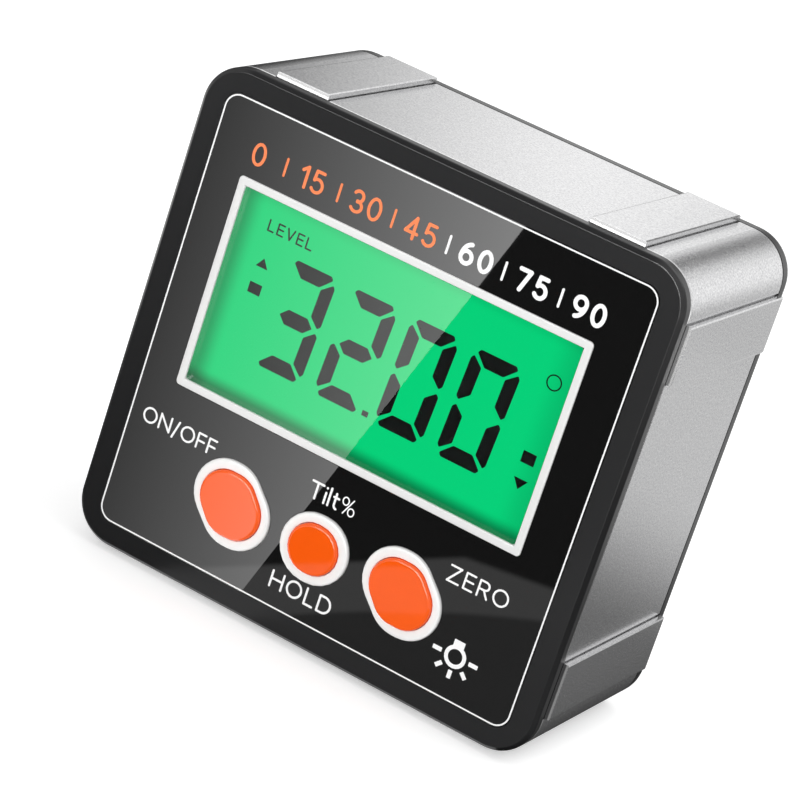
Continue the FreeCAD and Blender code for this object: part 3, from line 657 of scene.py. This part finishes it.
def addBoot(name, key, look):
    depths = [depth for _, depth in look["wall"]]
    grid = sweepLoops([slotLoop(roundAt(key), radius) for radius, _ in look["wall"]], depths, True)
    boot = addPiece(name + "_boot_cone", [grid], "mouldedSilicone", "case", "clear_silicone",
                    name + "_key_boot")
    tuple(onFace(key["x"], look["switchFront"], key["up"]))
    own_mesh(boot)


for name, (capShape, collarShape) in keyShapes.items():
    cap = keyPlace(name + "_key", capShape, keyLook["flange"])
    collar = keyPlace(name + "_key_collar", collarShape, collarLook["flange"])
    addPiece(name + "_key_cap", keyGrids(cap, keyLook), "glossOrangeAbs", name + "_button", "orange_abs",
             name + "_key")
    addPiece(name + "_collar_ring", [collarGrid(cap, collar, keyLook["gap"], collarLook)],
             "glossWhiteAbs", "case", "white_abs", name + "_key_collar")
    addBoot(name, cap, bootLook)
print("keys made")

# print on the face panel: its front and back, and the line near its edge
printDepths = (-0.02, 0.004)
lineLook = {"box": (-28.4, 28.4, -27.0, 27.0), "corner": 1.8, "stroke": 0.18}
legends = {
    "legend_on_off": ("ON/OFF", -26.7, -16.33, -13.75, -11.75, 0.25),
    "legend_tilt": ("Tilt%", -3.53, 2.75, -12.72, -10.5, 0.27),
    "legend_hold": ("HOLD", -4.73, 3.67, -24.88, -22.68, 0.27),
    "legend_zero": ("ZERO", 15.78, 23.78, -14.07, -11.95, 0.24),
}


def addPrint(name, grids, ink="whiteScreenInk", slot="white_abs"):
    addPiece(name, grids, ink, "case", slot)


borderLoop = roundedLoop(lineLook["box"], 0, lineLook["corner"])
addPrint("panel_border_line", [strokeGrid(borderLoop, lineLook["stroke"], *printDepths, True)])
for name, (word, *place) in legends.items():
    addPrint(name, wordGrids(word, *place, printDepths))

# lamp sign: a bulb hanging from its socket, with five flat-ended rays (angle, start and end of each)
lampSign = {"x": 19.93, "up": -21.83, "radius": 1.16, "stroke": 0.48, "socketHalf": 0.7, "socketLow": 1.1,
            "socketHigh": 2.0, "socketEase": 0.06, "rayEase": 0.08, "rayWidth": 0.52,
            "rays": [(180, 1.8, 2.98), (225, 1.85, 2.8), (270, 1.7, 2.72), (315, 1.85, 2.8), (360, 1.8, 2.98)]}


def lampGrids(look, front, back):
    # each ray is a rectangle laid along its direction from the middle of the bulb
    x, up, half = look["x"], look["up"], look["rayWidth"] / 2
    grids = [ringGrid(look, front, back)]
    socket = rectangleCorners(x - look["socketHalf"], x + look["socketHalf"], up + look["socketLow"],
                              up + look["socketHigh"])
    grids.append(plateGrid(socket, look["socketEase"], front - strokeStep, back - strokeStep))
    for angle, start, end in look["rays"]:
        turn = math.radians(angle)
        axes = np.array([[math.cos(turn), math.sin(turn)], [-math.sin(turn), math.cos(turn)]])
        corners = np.array(rectangleCorners(start, end, -half, half)) @ axes + np.array([x, up])
        grids.append(plateGrid(corners, look["rayEase"], front, back))
    return grids


addPrint("legend_lamp", lampGrids(lampSign, *printDepths))

# graduation in place of a title: angles from 0 to 90 in steps of 15, with a tick halfway
scaleBand = {"left": -22.4, "right": 21.3, "low": 20.15, "high": 22.95, "stroke": 0.5,
             "orangeStroke": 0.38, "tickHigh": 22.55, "tickLow": 20.55, "tickStroke": 0.3,
             "lastOrange": 45, "last": 90, "step": 15, "digitGap": 0.5}


def scaleGrids(look, depths):
    # the numbers and ticks of the band: orange up to lastOrange, white after it
    orange, white = [], []
    angles = np.arange(0, look["last"] + 1, look["step"])
    places = np.linspace(look["left"], look["right"], len(angles))
    for angle, place in zip(angles, places):
        word = str(angle)
        target, stroke = white, look["stroke"]
        if angle <= look["lastOrange"]:
            target, stroke = orange, look["orangeStroke"]
        size = look["high"] - look["low"] - stroke
        width = sum(glyphs[figure][0] * size for figure in word) + stroke
        width += (len(word) - 1) * (stroke + look["digitGap"])
        target += wordGrids(word, place - width / 2, place + width / 2, look["low"], look["high"], stroke,
                            depths)
    for angle, middle in zip(angles, (places[:-1] + places[1:]) / 2):
        target = orange if angle < look["lastOrange"] else white
        tick = np.array([[middle, look["tickLow"]], [middle, look["tickHigh"]]])
        target.append(strokeGrid(tick, look["tickStroke"], *depths, False))
    return orange, white


orangeGrids, whiteGrids = scaleGrids(scaleBand, printDepths)
addPrint("scale_orange", orangeGrids, "orangeScreenInk", "orange_abs")
addPrint("scale_white", whiteGrids)
print("print made")

# finishes of the solids
finishes = {
    "satinMouldedAbs": ["front_bezel", "rear_cover", "battery_door"],
    "backPrintedAcrylic": ["face_panel"],
    "coatedClearAcrylic": ["display_window"],
    "litLiquidCrystal": ["lcd_cell"],
    "satinWhiteAbs": ["display_frame"],
    "beadBlastedAnodisedAluminium": ["extruded_frame"],
    "mouldedNitrileRubber": ["front_gasket", "rear_gasket", "door_gasket"],
    "mouldedWhitePolystyrene": ["lcd_holder"],
    "frostedAcrylicGuide": ["light_guide"],
    "voidedPolyesterFilm": ["backlight_reflector"],
    "mouldedLampPackage": ["backlight_leds"],
    "layeredElastomer": ["zebra_strip"],
    "zincPlatedSteel": ["front_screws", "pcb_screws"],
    "blackZincSteel": ["rear_screws", "door_screw_upper", "door_screw_lower"],
    "nickelPlate": ["base_magnets", "clock_crystal", "battery_contacts", "battery_springs"],
    "greenMaskedBoard": ["main_pcb"],
    "filledEpoxy": ["tilt_sensor", "microcontroller"],
    "shrunkDarkSleeve": ["capacitors"],
    "extrudedRedPvc": ["red_wire"],
    "extrudedBlackPvc": ["black_wire"],
    "printedCellFilm": ["battery_cell_upper", "battery_cell_lower"],
    "cutPolyetherFoam": ["battery_pad"],
    "turnedBrass": ["screw_inserts"],
}
keyFinishes = {"_key": "glossOrangeAbs", "_key_collar": "glossWhiteAbs", "_key_boot": "mouldedSilicone",
               "_switch": "mouldedBlackNylon", "_switch_plunger": "mouldedGreyAcetal"}
finishes.update({material: [name + part for name in keyShapes] for part, material in keyFinishes.items()})
for material, names in finishes.items():
    for name in names:
        for socket in nodes[name].material_slots:
            socket.material = bpy.data.materials[material]
print("finishes set:", sum(len(names) for names in finishes.values()), "of", len(nodes))

# floorSeen is the glow that lifts the floor to white; the dome rises from skyLeast to skyMost over the
# range skyFacing, and pale things get the share skyDiffuse of it
studio = {"floorHalf": 4.0, "floorColour": "#f0f0f0", "floorSeen": 0.42, "skyAxis": (0.45, 0.35, 0.82),
          "skyFacing": (-0.5, 0.9), "skyLeast": 0.45, "skyMost": 1.0, "skyDiffuse": 0.84}


def addFloor(look):
    # a pale sheet; what the camera, metal and glass see of it is lifted to white, and shadows stay
    side = np.array([-look["floorHalf"], look["floorHalf"]])
    points = np.stack(np.broadcast_arrays(side[None, :], side[:, None], np.zeros((2, 2))), axis=-1)
    tree, _ = startMaterial("matPaleFloor")
    rays = addNode(tree, "ShaderNodeLightPath", {}).outputs
    seen = calculate(tree, "MAXIMUM", rays["Is Camera Ray"], rays["Is Glossy Ray"])
    seen = calculate(tree, "MAXIMUM", seen, rays["Is Transmission Ray"])
    addSurface(tree, {"Base Color": toLinear(look["floorColour"]), "Roughness": 0.9,
                      "Specular IOR Level": 0.0, "Emission Color": (1, 1, 1, 1),
                      "Emission Strength": calculate(tree, "MULTIPLY", seen, look["floorSeen"])})
    floor = addObject("floor", makeMesh("floor", [(points, gridQuads(2, 2))]))
    floor.data.materials.append(bpy.data.materials["matPaleFloor"])


def addSky(look):
    # white to the camera; to everything else a soft dome that is brightest towards skyAxis
    world = bpy.data.worlds.new("studioDome")
    bpy.context.scene.world = world
    world.use_nodes = True
    tree = world.node_tree
    tree.nodes.clear()
    direction = addNode(tree, "ShaderNodeTexCoord", {}).outputs["Generated"]
    facing = addNode(tree, "ShaderNodeVectorMath", {0: direction, 1: Vector(look["skyAxis"]).normalized()},
                     operation="DOT_PRODUCT").outputs["Value"]
    dome = mapRange(tree, facing, look["skyFacing"], (look["skyLeast"], look["skyMost"]))
    rays = addNode(tree, "ShaderNodeLightPath", {}).outputs
    soft = calculate(tree, "MULTIPLY", dome, look["skyDiffuse"])
    strength = mixValues(tree, rays["Is Camera Ray"], mixValues(tree, rays["Is Diffuse Ray"], dome, soft), 1.0)
    sky = addNode(tree, "ShaderNodeBackground", {"Color": (1, 1, 1, 1), "Strength": strength})
    addNode(tree, "ShaderNodeOutputWorld", {0: sky.outputs[0]})


def aimed(place, aim):
    # stands at a place and looks at the aim
    towards = (Vector(aim) - Vector(place)).to_track_quat("-Z", "Y").to_matrix().to_4x4()
    return Matrix.Translation(place) @ towards


def addSoftbox(name, place, aim, size, radiance):
    # a square lamp whose power gives its face the radiance asked for
    lamp = bpy.data.lights.new(name, "AREA")
    lamp.shape = "SQUARE"
    lamp.size = size
    lamp.energy = radiance * math.pi * size ** 2
    holder = addObject(name, lamp)
    holder.matrix_world = aimed(place, aim)
    return holder


middle = (cadLow + cadHigh) / 2
addFloor(studio)
addSky(studio)
addSoftbox("topSoftbox", (0.22, 0.12, 0.46), middle, size=0.34, radiance=1.6)
frontSoftbox = addSoftbox("frontSoftbox", (0.12, -0.88, 0.36), middle, size=0.5, radiance=4.2)

# Sheets round the object that only polished surfaces see, as a photographer's flags and cards: five
# on the floor before the face and beside it, one above and one before it, and two behind the metal.
# Sizes in millimetres.
faceCards = {
    "rows": 301, "columns": 261, "brightColumns": 25, "lift": 0.45, "brightLift": 0.55,
    "left": -60.0, "right": 70.0, "low": -30.2, "high": 30.0,
    "darkLevel": 0.03,
    "sideLevel": 0.8, "sideFrom": 30.5, "sideWidth": 9.0, "sideLow": -16.0, "sideHigh": -4.0,
    "bandLevel": 0.66, "bandX": 26.0, "bandTop": -9.0, "bandSlope": 0.13,
    "bandSteepX": 4.0, "bandSteepTop": -17.1, "bandSteep": 0.53,
    "footLevel": 0.23, "footTop": -13.5, "footSlope": 0.376, "footCurve": 0.0038, "soft": 0.9,
    "edgeMiddle": 1.65, "edgeLean": 0.344,
    "brightLeft": -36.0, "brightFrom": -27.0, "brightLevel": 0.84, "brightRise": 0.0646,
    "brightCurve": 0.00087,
    "endHigh": 72.0, "endLevel": 1.35, "besideLeft": 31.8, "besideLow": 8.0, "besideLevel": 1.0,
}
flankCard = {"x": 114.0, "y": -51.5, "halfX": 86.0, "halfY": 38.5, "lift": 0.3, "level": 0.17}
lipCard = {"x": 40.0, "halfX": 300.0, "y": -430.0, "low": 90.0, "high": 330.0, "level": 8.0}
topCard = {"x": -150.0, "y": -140.0, "up": 400.0, "half": 95.0, "level": 1.35}
backCard = {
    "rows": 55, "columns": 157, "y": 160.0, "left": -560.0, "right": 220.0, "high": 270.0,
    "least": 0.08, "levelLeft": -0.49, "levelMiddle": 1.78, "levelRight": 1.25,
    "riseAt": -100.7, "riseWidth": 163.0, "fallWidth": 80.0,
    "dip": 0.97, "dipX": 13.2, "dipUp": 138.3, "dipHalfX": 53.8, "dipHalfUp": 49.0, "footLevel": 0.5,
    "footHigh": 75.5, "leftFoot": 0.25, "leftFootLow": 60.0, "leftFootHigh": 98.0, "leftFootX": 5.0,
    "leftFootWidth": 40.0,
}
groundCard = {"rows": 61, "columns": 87, "left": -110.0, "right": 320.0, "near": -13.0, "far": 159.0,
              "lift": 0.05, "levelNear": 0.19, "levelFar": 0.77, "riseFrom": 35.7, "riseTo": 89.8,
              "shadeTo": 44.0, "shadeFrom": 22.0}
cameraLook = {"place": (0.15059, -0.35773, 0.15962), "aim": (0.00353, -0.0148, 0.03356), "roll": 18.65,
              "lens": 158.73, "sensor": 36.0}


def smooth(values):
    share = np.clip(values, 0, 1)
    return share * share * (3 - 2 * share)


def glowMaterial(name, clear):
    # glows as strongly as the sheet's own attribute says; a clear sheet also lets through what is behind
    tree, _ = startMaterial(name)
    level = addNode(tree, "ShaderNodeAttribute", {}, attribute_name="glow").outputs["Fac"]
    shade = addNode(tree, "ShaderNodeEmission", {"Color": (1, 1, 1, 1), "Strength": level}).outputs[0]
    if clear:
        through = addNode(tree, "ShaderNodeBsdfTransparent", {}).outputs[0]
        shade = addNode(tree, "ShaderNodeAddShader", {0: shade, 1: through}).outputs[0]
    addNode(tree, "ShaderNodeOutputMaterial", {"Surface": shade})


def addSheet(name, x, y, up, level, clear=False, throughWindow=False):
    x, y, up, level = np.broadcast_arrays(x, y, up, np.maximum(level, 0))
    mesh = bpy.data.meshes.new(name)
    points = np.stack([x, y, up], axis=-1).reshape(-1, 3) * mm
    mesh.from_pydata(points.tolist(), [], gridQuads(*x.shape).tolist())
    mesh.attributes.new("glow", "FLOAT", "POINT").data.foreach_set("value", level.ravel().astype(np.float32))
    mesh.materials.append(bpy.data.materials["clearCardGlow" if clear else "cardGlow"])
    sheet = addObject(name, mesh)
    sheet.visible_transmission = throughWindow
    for hidden in ("visible_camera", "visible_diffuse", "visible_shadow", "visible_volume_scatter"):
        setattr(sheet, hidden, False)
    return sheet


def mirroredOnFloor(x, up, lift):
    # where a ray from the camera that the face turns back at (x, up) comes down to the height lift
    cameraX, cameraY, cameraUp = np.array(cameraLook["place"]) / mm
    height = centreUp + up
    share = (height - lift) / (cameraUp - height)
    return x + share * (x - cameraX), faceY + share * (cameraY - faceY)


def linkTo(light, state, *names):
    # the named solids take no light from the sheet or lamp, or with INCLUDE they alone do
    linked = bpy.data.collections.new(light.name + "_solids")
    for name in names:
        linked.objects.link(nodes[name])
    for entry in linked.collection_objects:
        entry.light_linking.link_state = state
    light.light_linking.receiver_collection = linked


def addFaceCards(look):
    # the dark card keeps the right of the face black; it is paler towards its right side and has a pale
    # slanted band, and a less pale foot under that
    up = np.linspace(look["low"], look["high"], look["rows"])[:, None]
    x = np.linspace(look["left"], look["right"], look["columns"])[None, :]
    floorX, floorY = mirroredOnFloor(x, up, look["lift"])
    beside = x - look["bandX"]
    bandTop = np.minimum(look["bandTop"] + look["bandSlope"] * beside,
                         look["bandSteepTop"] + look["bandSteep"] * (x - look["bandSteepX"]))
    footTop = look["footTop"] + look["footSlope"] * beside - look["footCurve"] * beside ** 2
    foot = look["bandLevel"] + (look["footLevel"] - look["bandLevel"]) * smooth((footTop - up) / look["soft"])
    foot = foot * smooth((bandTop - up) / look["soft"])
    side = smooth((x - look["sideFrom"]) / look["sideWidth"])
    side = side * smooth((up - look["sideLow"]) / (look["sideHigh"] - look["sideLow"]))
    level = look["darkLevel"] + foot + look["sideLevel"] * side
    addSheet("dark_card", floorX, floorY, look["lift"], level, throughWindow=True)
    # the bright card gives the left a glare that grows towards its slanted straight edge
    edge = look["edgeMiddle"] + look["edgeLean"] * up
    x = look["brightLeft"] + (edge - look["brightLeft"]) * np.linspace(0, 1, look["brightColumns"])[None, :]
    lift = look["brightLift"]
    floorX, floorY = mirroredOnFloor(x, up, lift)
    beside = x - look["brightFrom"]
    level = look["brightLevel"] + look["brightRise"] * beside + look["brightCurve"] * beside ** 2
    bright = addSheet("bright_card", floorX, floorY, lift, level, clear=True)
    linkTo(bright, "EXCLUDE", "front_bezel", "extruded_frame")
    # two more light what faces forward above the panel and beside it: the ends of the upper pads
    ends = {"end_card": (look["left"], look["high"], look["endHigh"], look["endLevel"]),
            "beside_card": (look["besideLeft"], look["besideLow"], look["high"], look["besideLevel"])}
    for name, (left, low, high, level) in ends.items():
        floorX, floorY = mirroredOnFloor(np.array([[left, look["right"]]]), np.array([[low], [high]]), lift)
        linkTo(addSheet(name, floorX, floorY, lift, level), "EXCLUDE", "front_bezel")


def addSideCards(top, flank, lip):
    across, along = np.array([[-1, 1]]), np.array([[-1], [1]])
    above = addSheet("top_card", top["x"] + top["half"] * across, top["y"] + top["half"] * along, top["up"],
                     top["level"])
    linkTo(above, "EXCLUDE", "front_bezel")
    beside = addSheet("flank_card", flank["x"] + flank["halfX"] * across,
                      flank["y"] + flank["halfY"] * along, flank["lift"], flank["level"])
    linkTo(beside, "INCLUDE", "extruded_frame")
    before = addSheet("lip_card", lip["x"] + lip["halfX"] * across, lip["y"],
                      np.array([[lip["low"]], [lip["high"]]]), lip["level"], clear=True)
    linkTo(before, "EXCLUDE", "extruded_frame", "rear_cover")


def addBackCards(look, ground):
    # behind: a rise from the left, a dark spot near the middle, and a darker foot, darkest at the left
    x = np.linspace(look["left"], look["right"], look["columns"])[None, :]
    up = np.linspace(0, look["high"], look["rows"])[:, None]
    rise = smooth((x - look["riseAt"]) / look["riseWidth"] + 0.5)
    fall = smooth((x - look["dipX"]) / look["fallWidth"])
    level = look["levelLeft"] + (look["levelMiddle"] - look["levelLeft"]) * rise
    level = np.maximum(level + (look["levelRight"] - look["levelMiddle"]) * fall, look["least"])
    besideDip = (x - look["dipX"]) / look["dipHalfX"]
    aboveDip = (up - look["dipUp"]) / look["dipHalfUp"]
    spot = np.exp(-besideDip ** 2 - aboveDip ** 2)
    foot = look["footLevel"] + (1 - look["footLevel"]) * smooth(up / look["footHigh"])
    leftFoot = smooth((up - look["leftFootLow"]) / (look["leftFootHigh"] - look["leftFootLow"]))
    leftFoot = look["leftFoot"] + (1 - look["leftFoot"]) * leftFoot
    foot = foot * (leftFoot + (1 - leftFoot) * smooth((x - look["leftFootX"]) / look["leftFootWidth"]))
    addSheet("back_card", x, look["y"], up, level * (1 - look["dip"] * spot) * foot)
    # on the floor: dark under and close behind the object and brighter further back
    x = np.linspace(ground["left"], ground["right"], ground["columns"])[None, :]
    y = np.linspace(ground["near"], ground["far"], ground["rows"])[:, None]
    share = smooth((y - ground["riseFrom"]) / (ground["riseTo"] - ground["riseFrom"]))
    shade = smooth((x - ground["shadeFrom"]) / (ground["shadeTo"] - ground["shadeFrom"]))
    level = ground["levelNear"] * shade * (1 - share) + ground["levelFar"] * share
    addSheet("ground_card", x, y, ground["lift"], level)


glowMaterial("cardGlow", False)
glowMaterial("clearCardGlow", True)
addFaceCards(faceCards)
addSideCards(topCard, flankCard, lipCard)
addBackCards(backCard, groundCard)
linkTo(frontSoftbox, "EXCLUDE", "extruded_frame")


def addCamera(look):
    data = bpy.data.cameras.new("camera")
    data.lens, data.sensor_width = look["lens"], look["sensor"]
    holder = addObject("camera", data)
    roll = Matrix.Rotation(math.radians(look["roll"]), 4, "Z")
    holder.matrix_world = aimed(look["place"], look["aim"]) @ roll
    bpy.context.scene.camera = holder


addCamera(cameraLook)
bpy.context.scene.view_settings.view_transform = "Standard"
print("studio and camera set")
